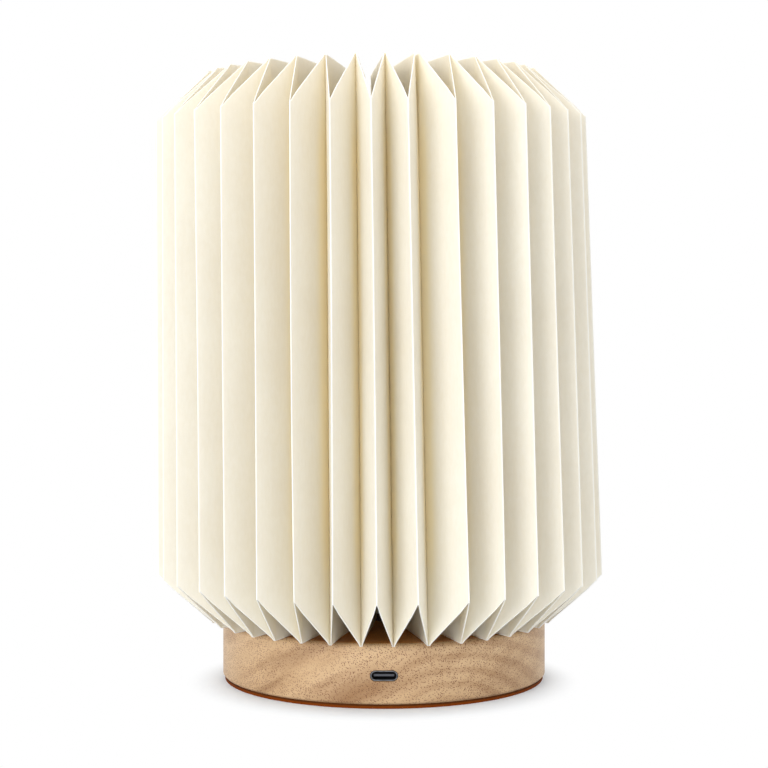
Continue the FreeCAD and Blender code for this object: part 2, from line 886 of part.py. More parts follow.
def make_tube_cap():
    """The column's cap, whose plug keeps the strip's upper end in a slot."""
    body = new_body("tube_cap")
    disc = new_sketch(body, "XY_Plane", TUBE_TOP)
    add_circle(disc, "tube_radius")
    pad(body, disc, "cap_thick")
    cap_top = rough("%s + cap_thick" % TUBE_TOP)
    bevel_edges(body, "cap_chamfer", level_circle(size("tube_radius"), cap_top))
    plug = new_sketch(body, "XY_Plane", TUBE_TOP)
    add_circle(plug, "tube_radius - tube_wall - tube_clear")
    pad(body, plug, "cap_plug", reverse=True)
    slot = new_sketch(body, "XY_Plane", "%s - cap_plug" % TUBE_TOP)
    add_strip_slot(slot)
    pocket(body, slot, "strip_bite + strip_clear", reverse=True)
    return body


STRIP_FLOOR = "(cover_thick + wood_height + flange_thick + foot_plug - strip_bite)"
STRIP_LENGTH = "(tube_length - foot_plug - cap_plug + 2 * strip_bite)"


def make_led_board():
    return new_box(
        "led_board", "strip_width", "strip_thick", STRIP_LENGTH, "0", "-strip_thick / 2", STRIP_FLOOR
    )


def make_led_chips():
    """Two rows of chips, one on each face of the strip."""
    chips = []
    for index in range(int(size("chip_count"))):
        middle = "%s + %s / 2" % (STRIP_FLOOR, STRIP_LENGTH)
        low = "%s + (%d - (chip_count - 1) / 2) * chip_pitch - chip_long / 2" % (middle, index)
        for side, near in (("front", "-strip_thick / 2 - chip_thick"), ("rear", "strip_thick / 2")):
            name = "led_chip_%s_%d" % (side, index)
            chips.append(new_box(name, "chip_wide", "chip_thick", "chip_long", "0", near, low))
    return new_group("led_chips", chips)


# ---------------------------------------------------------------- leads held inside


def lead_wire(points, bend):
    """Straight runs joined by tangent arcs through a list of points."""
    edges = []
    start = points[0]
    for index in range(1, len(points) - 1):
        corner = points[index]
        into = (corner - points[index - 1]).normalize()
        out = (points[index + 1] - corner).normalize()
        half_turn = into.getAngle(out) / 2
        run = min(corner.distanceToPoint(points[index - 1]), corner.distanceToPoint(points[index + 1]))
        reach = min(bend * math.tan(half_turn), BEND_SHARE * run)
        radius = reach / math.tan(half_turn)
        first = corner - into * reach
        last = corner + out * reach
        inward = (out - into).normalize()
        middle = corner + inward * (radius / math.cos(half_turn) - radius)
        edges.append(Part.LineSegment(start, first).toShape())
        edges.append(Part.Arc(first, middle, last).toShape())
        start = last
    edges.append(Part.LineSegment(start, points[-1]).toShape())
    return Part.Wire(edges)


def lead_section(place, heading, radius):
    """A regular outline across a lead's first run."""
    facing = FreeCAD.Rotation(UP, heading)
    corners = []
    for index in range(LEAD_SIDES):
        angle = 2 * math.pi * index / LEAD_SIDES
        corners.append(place + facing.multVec(point(math.cos(angle), math.sin(angle)) * radius))
    return Part.makePolygon(corners + corners[:1])


def new_leads(label, routes, bend):
    """Leads along their routes, as one node of separate solids."""
    radius = size("lead_radius")
    solids = []
    for route in routes:
        places = [FreeCAD.Vector(*[rough(text) for text in corner]) for corner in route]
        wire = lead_wire(places, bend)
        heading = places[1] - places[0]
        pipe = wire.makePipeShell([lead_section(places[0], heading, radius)], True, False)
        wanted = LEAD_SIDES / 2 * math.sin(2 * math.pi / LEAD_SIDES) * radius ** 2 * wire.Length
        if abs(pipe.Volume - wanted) > VOLUME_SLACK * wanted:
            raise ValueError("a lead of %s lost volume" % label)
        solids.append(pipe)
    leads = doc.addObject("Part::Feature", label)
    leads.Shape = Part.makeCompound(solids)
    return leads


PLUG_PIN = "port_height"


def make_battery_leads():
    routes = []
    for side in ("- lead_pitch / 2", "+ lead_pitch / 2"):
        x = "cell_plug_x " + side
        low = "port_height - plug_height / 2"
        routes.append(
            [
                (x, CELL_FRONT, PLUG_PIN),
                (x, "%s - lead_run" % CELL_FRONT, PLUG_PIN),
                (x, "(%s + %s) / 2" % (CELL_FRONT, PLUG_FACE), low),
                (x, "%s + lead_run" % PLUG_FACE, PLUG_PIN),
                (x, PLUG_FACE, PLUG_PIN),
            ]
        )
    return new_leads("battery_leads", routes, 4 * size("lead_bend"))


def make_led_leads():
    routes = []
    for side in ("-", "+"):
        x = "%s lead_pitch * 3 / 4" % side
        y = "-strip_thick / 2 - lead_radius"
        routes.append(
            [
                (x, y, "%s + foot_plug - plug_setback" % FLANGE_TOP),
                (x, y, PLUG_PIN),
                ("lead_plug_x %s lead_pitch / 2" % side, "%s + lead_run" % PLUG_FACE, PLUG_PIN),
                ("lead_plug_x %s lead_pitch / 2" % side, PLUG_FACE, PLUG_PIN),
            ]
        )
    return new_leads("led_leads", routes, size("lead_bend"))


def make_switch_leads():
    """Two leads, one above the other, that pass beside the cell."""
    routes = []
    for side in ("-", "+"):
        level = "port_height - lead_pitch %s lead_pitch / 2" % side
        outer = "(cell_width / 2 + cavity_wall)"
        routes.append(
            [
                ("switch_side / 2", SWITCH_FRONT, level),
                ("switch_side / 2", "%s - lead_pitch - lead_radius" % SWITCH_FRONT, level),
                ("cell_width / 2 + lead_pitch", "%s + lead_radius * 2" % CELL_REAR, level),
                (outer, "lead_pitch", level),
                ("switch_plug_x %s lead_pitch / 2" % side, "%s + lead_run" % PLUG_FACE, PLUG_PIN),
                ("switch_plug_x %s lead_pitch / 2" % side, PLUG_FACE, PLUG_PIN),
            ]
        )
    return new_leads("switch_leads", routes, 2 * size("lead_bend"))


# ---------------------------------------------------------------- shade


# The bend begins a little inside the tips and turns the wall towards the outer fold.
BEND_START = "(tip_radius - bend_reach)"
TIP_SIDE = "(tip_radius * sin(180 deg / pleat_count))"
TIP_DEPTH = "(shade_radius - tip_radius * cos(180 deg / pleat_count))"
BEND_TURN = "(180 deg / pleat_count + atan(%s / %s))" % (TIP_SIDE, TIP_DEPTH)
BEND_RADIUS = "(bend_reach / tan(%s / 2))" % BEND_TURN


def add_half_pleat(sketch):
    """Half a pleat seen from above, from its valley fold near the middle to its outer fold on +X.

    The wall runs outward beside the valley line, bends towards the outer fold where two
    neighbouring sheets part, and goes on straight to that fold. Every side is as thick as the paper.
    """
    half_pitch = math.pi / size("pleat_count")
    wall = size("paper_thick")
    half_gap = size("layer_gap") / 2
    bend = rough(BEND_RADIUS)
    along = point(math.cos(half_pitch), math.sin(half_pitch))
    across = point(-math.sin(half_pitch), math.cos(half_pitch))
    fold = along * size("core_radius")
    fold_inner = fold + along * wall
    gap_floor = fold_inner - across * half_gap
    outer_start = along * rough(BEND_START) - across * half_gap
    middle = outer_start - across * (bend + wall)
    tip = point(size("shade_radius"), 0)
    to_tip = tip - middle
    lean = math.acos((bend + wall) / to_tip.Length)
    normal_turn = math.atan2(to_tip.y, to_tip.x) + lean
    normal = point(math.cos(normal_turn), math.sin(normal_turn))
    outer_end = middle + normal * (bend + wall)
    inner_end = middle + normal * bend
    inner_start = outer_start - across * wall
    crease = point((bend + middle.dot(normal)) / normal.x, 0)
    fold_side = fold - across * (half_gap + wall)

    first_turn = half_pitch + math.pi / 2
    outer_arc = Part.ArcOfCircle(Part.Circle(middle, UP, bend + wall), normal_turn, first_turn)
    inner_arc = Part.ArcOfCircle(Part.Circle(middle, UP, bend), normal_turn, first_turn)
    outline = [
        Part.LineSegment(fold, fold_inner),
        Part.LineSegment(fold_inner, gap_floor),
        Part.LineSegment(gap_floor, outer_start),
        outer_arc,
        Part.LineSegment(outer_end, tip),
        Part.LineSegment(tip, crease),
        Part.LineSegment(crease, inner_end),
        inner_arc,
        Part.LineSegment(inner_start, fold_side),
        Part.LineSegment(fold_side, fold),
    ]
    names = [sketch.addGeometry(part) for part in outline]
    valley, floor, fin, outer_bend, panel, edge, lining, inner_bend, back, foot = names

    def tie(kind, *members):
        sketch.addConstraint(Sketcher.Constraint(kind, *members))

    tie("Coincident", valley, 2, floor, 1)
    tie("Coincident", floor, 2, fin, 1)
    tie("Tangent", fin, 2, outer_bend, 2)
    tie("Tangent", outer_bend, 1, panel, 1)
    tie("Coincident", panel, 2, edge, 1)
    tie("Coincident", edge, 2, lining, 1)
    tie("Tangent", lining, 2, inner_bend, 1)
    tie("Tangent", inner_bend, 2, back, 1)
    tie("Coincident", back, 2, foot, 1)
    tie("Coincident", foot, 2, valley, 1)
    tie("Coincident", outer_bend, 3, inner_bend, 3)
    tie("Perpendicular", valley, floor)
    tie("Perpendicular", valley, foot)
    tie("Parallel", valley, fin)
    tie("PointOnObject", -1, 1, valley)
    tie("PointOnObject", panel, 2, -1)
    tie("PointOnObject", edge, 2, -1)
    sketch.addConstraint(Sketcher.Constraint("Angle", -1, 1, valley, 1, half_pitch))
    name_last(sketch, "180 deg / pleat_count")
    lengths = [
        ("Distance", (-1, 1, valley, 1), "core_radius"),
        ("Distance", (valley, 1, valley, 2), "paper_thick"),
        ("Distance", (floor, 1, floor, 2), "layer_gap / 2"),
        ("Distance", (fin, 1, fin, 2), BEND_START + " - core_radius - paper_thick"),
        ("Radius", (inner_bend,), BEND_RADIUS),
        ("Radius", (outer_bend,), BEND_RADIUS + " + paper_thick"),
        ("DistanceX", (-1, 1, panel, 2), "shade_radius"),
    ]
    for kind, members, text in lengths:
        sketch.addConstraint(Sketcher.Constraint(kind, *members, rough(text)))
        name_last(sketch, text)


def trim_ends(body):
    """Cuts both ends straight through the half pleat, as one cut trims the stack of folded paper."""
    ends = new_sketch(body, "XZ_Plane")
    top = "(%s + shade_height)" % SHADE_FLOOR
    outside = "shade_radius + overrun"
    slope = "(shade_radius - tip_radius)"
    beyond = "trim_height * (shade_radius + overrun - tip_radius) / %s" % slope
    top_corners = [
        ("tip_radius", top),
        (outside, "%s - %s" % (top, beyond)),
        (outside, "%s + overrun" % top),
        ("0", "%s + overrun" % top),
        ("0", "%s - top_dish * tip_radius / (tip_radius - core_radius)" % top),
    ]
    low_corners = [
        ("tip_radius", SHADE_FLOOR),
        (outside, "%s + %s" % (SHADE_FLOOR, beyond)),
        (outside, "%s - overrun" % SHADE_FLOOR),
        ("0", "%s - overrun" % SHADE_FLOOR),
        ("0", "%s + bottom_dish * tip_radius / (tip_radius - core_radius)" % SHADE_FLOOR),
    ]
    add_polygon(ends, top_corners)
    add_polygon(ends, low_corners)
    return pocket(body, ends, "tip_radius")


def repeat_half_pleat(body):
    """Mirrors the trimmed half pleat and turns the pair round the ring."""
    ring = body.newObject("PartDesign::MultiTransform", "shade_ring")
    ring.TransformMode = "Whole shape"
    mirror = doc.addObject("PartDesign::Mirrored", "pleat_mirror")
    mirror.MirrorPlane = (origin_feature(body, "XZ_Plane"), [""])
    turn = doc.addObject("PartDesign::PolarPattern", "pleat_turn")
    turn.Axis = (origin_feature(body, "Z_Axis"), [""])
    turn.Angle = 360
    bind(turn, Occurrences="pleat_count")
    ring.Transformations = [mirror, turn]
    body.Tip = ring
    doc.recompute()


def make_shade_sheet():
    """The pleated ring: half a pleat, trimmed at both ends, mirrored and repeated."""
    body = new_body("shade_sheet")
    outline = new_sketch(body, "XY_Plane", SHADE_FLOOR)
    add_half_pleat(outline)
    pad(body, outline, "shade_height")
    trim_ends(body)
    repeat_half_pleat(body)

    seam = new_sketch(body, "XY_Plane", SHADE_FLOOR, turn="seam_turn * 1 deg")
    half_width = "(layer_gap / 2 + paper_thick * 3 / 2)"
    inner = "core_radius - overrun"
    add_rectangle(seam, inner, "core_radius + seam_open", "-%s" % half_width, half_width)
    pocket(body, seam, "shade_height", reverse=True)
    return body


def make_seam_tape():
    """The strip between the sheet's two ends."""
    height = "shade_height - 2 * tape_margin"
    low = "%s + tape_margin" % SHADE_FLOOR
    tape = doc.addObject("Part::Box", "seam_tape")
    bind(tape, Length="tape_width", Width="layer_gap", Height=height)
    tape.Placement = FreeCAD.Placement(FreeCAD.Vector(0, 0, 0), FIRST_TURN)
    bind(tape, Placement__Rotation__Angle="seam_turn * 1 deg")
    x = "tape_inner * cos(seam_turn * 1 deg) + layer_gap / 2 * sin(seam_turn * 1 deg)"
    y = "tape_inner * sin(seam_turn * 1 deg) - layer_gap / 2 * cos(seam_turn * 1 deg)"
    return place(tape, x, y, low)


# ---------------------------------------------------------------- build, check and write

MAKERS = [
    make_base_body,
    make_bottom_cover,
    make_cover_screws,
    make_usb_shell,
    make_usb_tongue,
    make_main_board,
    make_board_spacers,
    make_board_screws,
    make_charge_chip,
    make_power_coil,
    make_lead_connectors,
    make_battery_cell,
    make_battery_pad,
    make_battery_leads,
    make_switch_board,
    make_switch_body,
    make_switch_plunger,
    make_switch_button,
    make_switch_leads,
    make_column_flange,
    make_flange_screws,
    make_diffuser_tube,
    make_tube_cap,
    make_led_board,
    make_led_chips,
    make_led_leads,
    make_shade_sheet,
    make_seam_tape,
]

nodes = [make() for make in MAKERS]
doc.recompute()

for thing in doc.Objects:
    if "Invalid" in thing.State or "Error" in thing.State:
        raise ValueError("%s is in state %s" % (thing.Name, thing.State))
for node in nodes:
    if node.Shape.isNull() or not node.Shape.isValid():
        raise ValueError("%s has no valid shape" % node.Label)

os.makedirs("parts", exist_ok=True)
for node in nodes:
    node.Shape.exportStep(os.path.join("parts", node.Label + ".step"))
    print("%s %d solids %.1f mm3" % (node.Label, len(node.Shape.Solids), node.Shape.Volume))
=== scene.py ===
import math
import random

import bmesh
import bpy
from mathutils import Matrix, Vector


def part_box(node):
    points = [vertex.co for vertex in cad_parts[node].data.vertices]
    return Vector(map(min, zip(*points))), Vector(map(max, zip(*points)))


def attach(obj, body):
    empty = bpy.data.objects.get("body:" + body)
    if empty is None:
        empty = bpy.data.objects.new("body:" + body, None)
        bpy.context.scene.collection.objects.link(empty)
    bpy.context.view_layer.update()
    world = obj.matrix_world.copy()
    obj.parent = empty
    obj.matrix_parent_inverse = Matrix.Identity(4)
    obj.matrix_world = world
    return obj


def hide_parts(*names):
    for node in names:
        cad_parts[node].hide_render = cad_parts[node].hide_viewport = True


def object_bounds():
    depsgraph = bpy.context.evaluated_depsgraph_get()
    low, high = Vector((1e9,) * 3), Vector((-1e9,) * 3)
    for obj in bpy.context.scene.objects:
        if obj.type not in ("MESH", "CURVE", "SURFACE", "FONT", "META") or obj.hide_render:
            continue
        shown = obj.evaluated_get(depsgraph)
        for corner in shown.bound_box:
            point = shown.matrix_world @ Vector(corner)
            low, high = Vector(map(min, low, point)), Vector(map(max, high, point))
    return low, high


# Looks of a pleated paper table lamp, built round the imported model. Metres, +Z up, front towards -Y.

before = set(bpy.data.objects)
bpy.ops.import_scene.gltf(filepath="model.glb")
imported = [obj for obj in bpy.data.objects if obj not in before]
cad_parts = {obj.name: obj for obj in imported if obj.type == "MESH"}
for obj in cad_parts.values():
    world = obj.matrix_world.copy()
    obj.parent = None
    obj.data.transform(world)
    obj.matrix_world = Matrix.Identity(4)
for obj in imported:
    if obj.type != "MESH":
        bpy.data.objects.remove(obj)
cad_low, cad_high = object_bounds()
scene = bpy.context.scene
MM = 0.001
FULL_TURN = 2 * math.pi

# ---------------------------------------------------------------- sizes read from the frame

shade_low, shade_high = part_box("shade_sheet")
_, base_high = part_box("base_body")
_, cover_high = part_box("bottom_cover")
_, cap_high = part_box("tube_cap")
shell_low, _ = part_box("usb_shell")

SHADE_RADIUS = (shade_high.x - shade_low.x) / 2
SHADE_FLOOR = shade_low.z
SHADE_HEIGHT = shade_high.z - shade_low.z
BASE_TOP = base_high.z

# ---------------------------------------------------------------- camera, placed as in the photograph

PHOTO_SIDE = 768
CAMERA_DISTANCE = 0.700
CAMERA_HEIGHT = 0.1395
FOCAL_PIXELS = 1950
HORIZON_ROW = 286
SENSOR = 36.0


def make_camera():
    data = bpy.data.cameras.new("camera")
    data.sensor_width = SENSOR
    data.lens = SENSOR * FOCAL_PIXELS / PHOTO_SIDE
    data.shift_y = (HORIZON_ROW - PHOTO_SIDE / 2) / PHOTO_SIDE
    camera = bpy.data.objects.new("camera", data)
    camera.location = (0, -CAMERA_DISTANCE, CAMERA_HEIGHT)
    camera.rotation_euler = (math.radians(90), 0, 0)
    scene.collection.objects.link(camera)
    scene.camera = camera


# ---------------------------------------------------------------- node helpers


def srgb(red, green, blue):
    """A colour given as it is seen, from 0 to 255, as linear light, by the standard curve."""

    def linear(level):
        share = level / 255
        return share / 12.92 if share <= 0.04045 else ((share + 0.055) / 1.055) ** 2.4

    return linear(red), linear(green), linear(blue)


def rgba(colour):
    """The four channels of a colour or of a plain grey level."""
    if isinstance(colour, (int, float)):
        return colour, colour, colour, 1
    return (*colour, 1)


# Where a ramp of shades begins and ends on a texture's values.
DARK_STOP = 0.3
FULL_STOP = 0.7


class Tree:
    """Short calls for the nodes that recur in a material or in the world."""

    def __init__(self, tree):
        self.tree = tree

    def add(self, kind, **settings):
        node = self.tree.nodes.new(kind)
        for key, value in settings.items():
            setattr(node, key, value)
        return node

    def link(self, source, target):
        self.tree.links.new(source, target)

    def put(self, socket, value):
        """Links an output to a socket, or sets the socket to a value or a colour."""
        if isinstance(value, bpy.types.NodeSocket):
            self.link(value, socket)
        elif socket.type == "RGBA":
            socket.default_value = rgba(value)
        else:
            socket.default_value = value

    def calculate(self, operation, first, second, clamp=False):
        node = self.add("ShaderNodeMath", operation=operation, use_clamp=clamp)
        self.put(node.inputs[0], first)
        self.put(node.inputs[1], second)
        return node.outputs[0]

    def watching_rays(self):
        """1 on rays that look at something, straight, mirrored or through a piece, and 0 on light."""
        rays = self.add("ShaderNodeLightPath").outputs
        direct = self.calculate("MAXIMUM", rays["Is Camera Ray"], rays["Is Glossy Ray"])
        return self.calculate("MAXIMUM", direct, rays["Is Transmission Ray"])


class MaterialTree(Tree):
    """A new material's nodes, with its shader and the places of points in the object's own frame."""

    def __init__(self, name):
        self.material = bpy.data.materials.new(name)
        self.material.use_nodes = True
        super().__init__(self.material.node_tree)
        self.shader = self.tree.nodes["Principled BSDF"]
        self.place = self.add("ShaderNodeTexCoord").outputs["Object"]

    def set(self, name, value):
        self.put(self.shader.inputs[name], value)

    def attribute(self, name):
        return self.add("ShaderNodeAttribute", attribute_name=name).outputs["Fac"]

    def axis(self, name):
        """A point's place along X, Y or Z."""
        node = self.add("ShaderNodeSeparateXYZ")
        self.link(self.place, node.inputs["Vector"])
        return node.outputs[name]

    def mapping(self, scale=(1, 1, 1), turn=(0, 0, 0), shift=(0, 0, 0), source=None):
        node = self.add("ShaderNodeMapping")
        self.link(source or self.place, node.inputs["Vector"])
        node.inputs["Scale"].default_value = scale
        node.inputs["Rotation"].default_value = [math.radians(degrees) for degrees in turn]
        node.inputs["Location"].default_value = shift
        return node.outputs["Vector"]

    def texture(self, kind, source, values, **settings):
        """A texture's outputs, with its place, its input values and its settings."""
        node = self.add(kind, **settings)
        self.link(source or self.place, node.inputs["Vector"])
        for name, value in values.items():
            node.inputs[name].default_value = value
        return node.outputs

    def noise(self, scale, detail=3.0, roughness=0.5, distortion=0.0, source=None):
        values = {"Scale": scale, "Detail": detail, "Roughness": roughness, "Distortion": distortion}
        return self.texture("ShaderNodeTexNoise", source, values)["Fac"]

    def ramp(self, factor, stops, smooth=False):
        node = self.add("ShaderNodeValToRGB")
        self.link(factor, node.inputs["Fac"])
        ramp = node.color_ramp
        ramp.interpolation = "EASE" if smooth else "LINEAR"
        while len(ramp.elements) < len(stops):
            ramp.elements.new(0.5)
        for element, (position, colour) in zip(ramp.elements, stops):
            element.position = position
            element.color = rgba(colour)
        return node.outputs["Color"]

    def mix(self, factor, first, second, blend="MIX"):
        node = self.add("ShaderNodeMix", data_type="RGBA", blend_type=blend)
        self.put(node.inputs["Factor"], factor)
        first_socket, second_socket = [socket for socket in node.inputs if socket.type == "RGBA"]
        self.put(first_socket, first)
        self.put(second_socket, second)
        return [socket for socket in node.outputs if socket.type == "RGBA"][0]

    def shaded(self, factor, shade, colour):
        """A ramp from a darker shade of a colour to the colour itself."""
        dark = [channel * shade for channel in colour]
        return self.ramp(factor, [(DARK_STOP, dark), (FULL_STOP, colour)])

    def bump(self, height, strength, distance):
        node = self.add("ShaderNodeBump")
        self.link(height, node.inputs["Height"])
        node.inputs["Strength"].default_value = strength
        node.inputs["Distance"].default_value = distance
        return node.outputs["Normal"]

    def blend(self, factor, second):
        """Shows a mix of the material's own shader and a second one on the surface."""
        node = self.add("ShaderNodeMixShader")
        self.put(node.inputs["Fac"], factor)
        self.link(self.shader.outputs["BSDF"], node.inputs[1])
        self.link(second, node.inputs[2])
        output = [other for other in self.tree.nodes if other.type == "OUTPUT_MATERIAL"][0]
        self.link(node.outputs["Shader"], output.inputs["Surface"])


# ---------------------------------------------------------------- paper

PAPER_CLOUD_SCALE = 22
PAPER_CLOUDS = [(0.3, srgb(246, 241, 228)), (0.7, srgb(250, 247, 237))]
FIBRE_SCALE = 900
FIBRE_STRETCH = (1, 1, 0.35)
FIBRES = [(0.35, srgb(241, 235, 219)), (0.65, srgb(252, 249, 241))]
FIBRE_SHARE = 0.2
FIBRE_RELIEF = 0.4
PAPER_LUMP_SCALE = 260
# Colours of the painted warm light in the valleys and of the painted highlight on the creases.
VALLEY_PAINTED_LIGHT_COLOUR = srgb(252, 243, 214)
CREASE_HIGHLIGHT_COLOUR = srgb(254, 254, 253)
PAPER_LETS_THROUGH = 0.28
THROUGH_TINT = srgb(252, 249, 240)


def paper_material():
    """Uncoated ivory paper that lets some light through, with painted warm valley light and painted crease
    highlights.
    """
    n = MaterialTree("ivory_paper")
    clouds = n.noise(PAPER_CLOUD_SCALE, roughness=0.55)
    fibres = n.noise(FIBRE_SCALE, roughness=0.6, source=n.mapping(scale=FIBRE_STRETCH))
    tone = n.mix(FIBRE_SHARE, n.ramp(clouds, PAPER_CLOUDS), n.ramp(fibres, FIBRES))
    # Painted warm light, gathering towards the valleys between the pleats.
    valley = n.attribute("valley")
    tone = n.mix(n.calculate("MULTIPLY", valley, valley), tone, VALLEY_PAINTED_LIGHT_COLOUR)
    # Painted highlight on the creases of the folds and along the cut edges.
    tone = n.mix(n.attribute("crease_highlight"), tone, CREASE_HIGHLIGHT_COLOUR)
    n.set("Base Color", tone)
    n.set("Roughness", 0.7)
    n.set("Specular IOR Level", 0.2)
    lumps = n.noise(PAPER_LUMP_SCALE, detail=4, roughness=0.6)
    height = n.calculate("ADD", n.calculate("MULTIPLY", fibres, FIBRE_RELIEF), lumps)
    grain = n.bump(height, strength=0.25, distance=0.12 * MM)
    n.set("Normal", grain)
    through = n.add("ShaderNodeBsdfTranslucent")
    n.link(n.mix(1.0, tone, THROUGH_TINT, blend="MULTIPLY"), through.inputs["Color"])
    n.link(grain, through.inputs["Normal"])
    n.blend(PAPER_LETS_THROUGH, through.outputs["BSDF"])
    return n.material


# ---------------------------------------------------------------- wood

WOOD_SLANT = 28
BAND_SCALE = 26
BAND_STRETCH = (0.30, 0.7, 1.9)
BAND_SHIFT = (0.018, 0.0, 0.012)
BANDS = [
    (0.36, srgb(140, 101, 63)),
    (0.45, srgb(192, 157, 116)),
    (0.56, srgb(206, 173, 133)),
    (0.65, srgb(148, 109, 70)),
]
# An arch of growth rings lies right of the front and fades out towards the front's middle.
ARCH_CENTRE = (0.0225, 0.0, -0.004)
ARCH_SQUEEZE = (1.0, 1.0, 1.55)
ARCH_WAVES = {"Scale": 44, "Distortion": 1.1, "Detail": 2, "Detail Scale": 1.0}
ARCH_RINGS = [(0.35, srgb(190, 158, 119)), (0.85, srgb(158, 122, 84))]
ARCH_FADE_SCALE = 30.0
ARCH_FADE = [(0.05, 0.0), (0.6, 1.0)]
ARCH_SHARE = 0.6
FINE_SCALE = 160
FINE_STRETCH = (0.25, 0.6, 1.6)
FINE_GRAIN = [(0.3, srgb(150, 114, 77)), (0.7, srgb(206, 176, 138))]
FINE_SHARE = 0.30
PORE_SLANT = -42
PORE_SCALE = 2100
PORE_STRETCH = (0.55, 1.0, 1.25)
PORE_CORES = [(0.22, 1.0), (0.40, 0.0)]
PORE_COLOUR = srgb(98, 52, 28)
PORE_SHARE = 0.9
PATCH_SCALE = 60
PATCH_STRETCH = (0.5, 0.8, 1.6)
PATCHES = [(0.30, 0.35), (0.48, 1.0)]
# The top face, to this depth below its top, gets painted warm light.
TOP_FACE_DEPTH = 0.05 * MM
TOP_FACE_PAINTED_LIGHT = srgb(255, 210, 148)


def wood_arch(n, tone):
    """Lays the arch of growth rings over the wood's tone."""
    shift = [-place * squeeze for place, squeeze in zip(ARCH_CENTRE, ARCH_SQUEEZE)]
    source = n.mapping(scale=ARCH_SQUEEZE, shift=shift)
    form = {"wave_type": "RINGS", "rings_direction": "Y", "wave_profile": "SIN"}
    waves = n.texture("ShaderNodeTexWave", source, ARCH_WAVES, **form)["Fac"]
    fade = n.ramp(n.calculate("MULTIPLY", n.axis("X"), ARCH_FADE_SCALE), ARCH_FADE, smooth=True)
    return n.mix(n.calculate("MULTIPLY", fade, ARCH_SHARE), tone, n.ramp(waves, ARCH_RINGS))


def wood_pores(n, slanted):
    """1 in the short open pores, which are fewer in some patches, and 0 beside them."""
    source = n.mapping(scale=PORE_STRETCH, source=n.mapping(turn=(0, PORE_SLANT, 0)))
    form = {"feature": "F1", "distance": "EUCLIDEAN"}
    cells = n.texture("ShaderNodeTexVoronoi", source, {"Scale": PORE_SCALE}, **form)["Distance"]
    patches = n.noise(PATCH_SCALE, roughness=0.6, source=n.mapping(scale=PATCH_STRETCH, source=slanted))
    return n.mix(1.0, n.ramp(cells, PORE_CORES), n.ramp(patches, PATCHES), blend="MULTIPLY")


def wood_material():
    """Light open-pored wood: slanting darker bands, an arch of growth rings, short reddish pores and
    painted warm light on the top face.
    """
    n = MaterialTree("light_wood")
    slanted = n.mapping(turn=(0, WOOD_SLANT, 0))
    drawn = n.mapping(scale=BAND_STRETCH, shift=BAND_SHIFT, source=slanted)
    tone = n.ramp(n.noise(BAND_SCALE, distortion=0.4, source=drawn), BANDS)
    tone = wood_arch(n, tone)
    drawn = n.mapping(scale=FINE_STRETCH, source=slanted)
    fine = n.noise(FINE_SCALE, detail=4, roughness=0.6, distortion=0.2, source=drawn)
    tone = n.mix(FINE_SHARE, tone, n.ramp(fine, FINE_GRAIN))
    pores = wood_pores(n, slanted)
    tone = n.mix(n.calculate("MULTIPLY", pores, PORE_SHARE), tone, PORE_COLOUR)
    # Painted warm light on the top face, as if lit through the shade's paper.
    top_face_painted_light_mask = n.calculate("GREATER_THAN", n.axis("Z"), BASE_TOP - TOP_FACE_DEPTH)
    tone = n.mix(top_face_painted_light_mask, tone, n.mix(1.0, tone, TOP_FACE_PAINTED_LIGHT, blend="MULTIPLY"))
    n.set("Base Color", tone)
    n.set("Roughness", 0.45)
    n.set("Specular IOR Level", 0.4)
    n.set("Normal", n.bump(n.calculate("SUBTRACT", 1.0, pores), strength=0.2, distance=0.1 * MM))
    return n.material


# ---------------------------------------------------------------- board, metal and plastic

BOARD_LAYERS = [(0.5, srgb(122, 54, 6)), (0.62, srgb(70, 35, 12)), (1.0, srgb(66, 33, 12))]
BOARD_SPECKLE_SCALE = 700
BOARD_SPECKLES = [(0.3, srgb(68, 34, 8)), (0.7, srgb(120, 64, 18))]
BOARD_SPECKLE_SHARE = 0.3
SCRATCH_SCALE = 900
SCRATCH_STRETCH = (1, 0.15, 1)
SCRATCH_SHADE = 0.86
SCRATCH_ROUGHNESS = 0.15
RIM_DEPTH = 0.08 * MM
RIM_TONES = [(0.3, srgb(96, 96, 100)), (0.7, srgb(138, 138, 142))]
# Colour of the painted shade inside the socket.
SOCKET_PAINTED_SHADE = srgb(28, 28, 31)
SPECKLE_SHADE = 0.9
SPECKLE_ROUGHNESS = 0.12
FROST_CLOUD_SCALE = 60
FROST_GRAIN_SCALE = 1400
FROST_CLOUDS = [(0.3, srgb(232, 228, 218)), (0.7, srgb(242, 240, 232))]
FROST_DEPTHS = (4 * MM, 4 * MM, 3 * MM)


def board_material():
    """Dark brown pressed board with a redder lower edge."""
    n = MaterialTree("brown_board")
    layers = n.ramp(n.calculate("DIVIDE", n.axis("Z"), cover_high.z), BOARD_LAYERS)
    speckle = n.noise(BOARD_SPECKLE_SCALE, roughness=0.6)
    n.set("Base Color", n.mix(BOARD_SPECKLE_SHARE, layers, n.ramp(speckle, BOARD_SPECKLES)))
    n.set("Roughness", 0.7)
    n.set("Specular IOR Level", 0.05)
    n.set("Normal", n.bump(speckle, strength=0.3, distance=0.1 * MM))
    return n.material


def metal_material(name, colour, roughness):
    """Metal with fine scratches drawn out along Y."""
    n = MaterialTree(name)
    scratches = n.noise(SCRATCH_SCALE, detail=2, source=n.mapping(scale=SCRATCH_STRETCH))
    n.set("Base Color", n.shaded(scratches, SCRATCH_SHADE, colour))
    n.set("Metallic", 1.0)
    rough = n.calculate("ADD", n.calculate("MULTIPLY", scratches, SCRATCH_ROUGHNESS), roughness)
    n.set("Roughness", rough)
    n.set("Normal", n.bump(scratches, strength=0.1, distance=0.05 * MM))
    return n.material


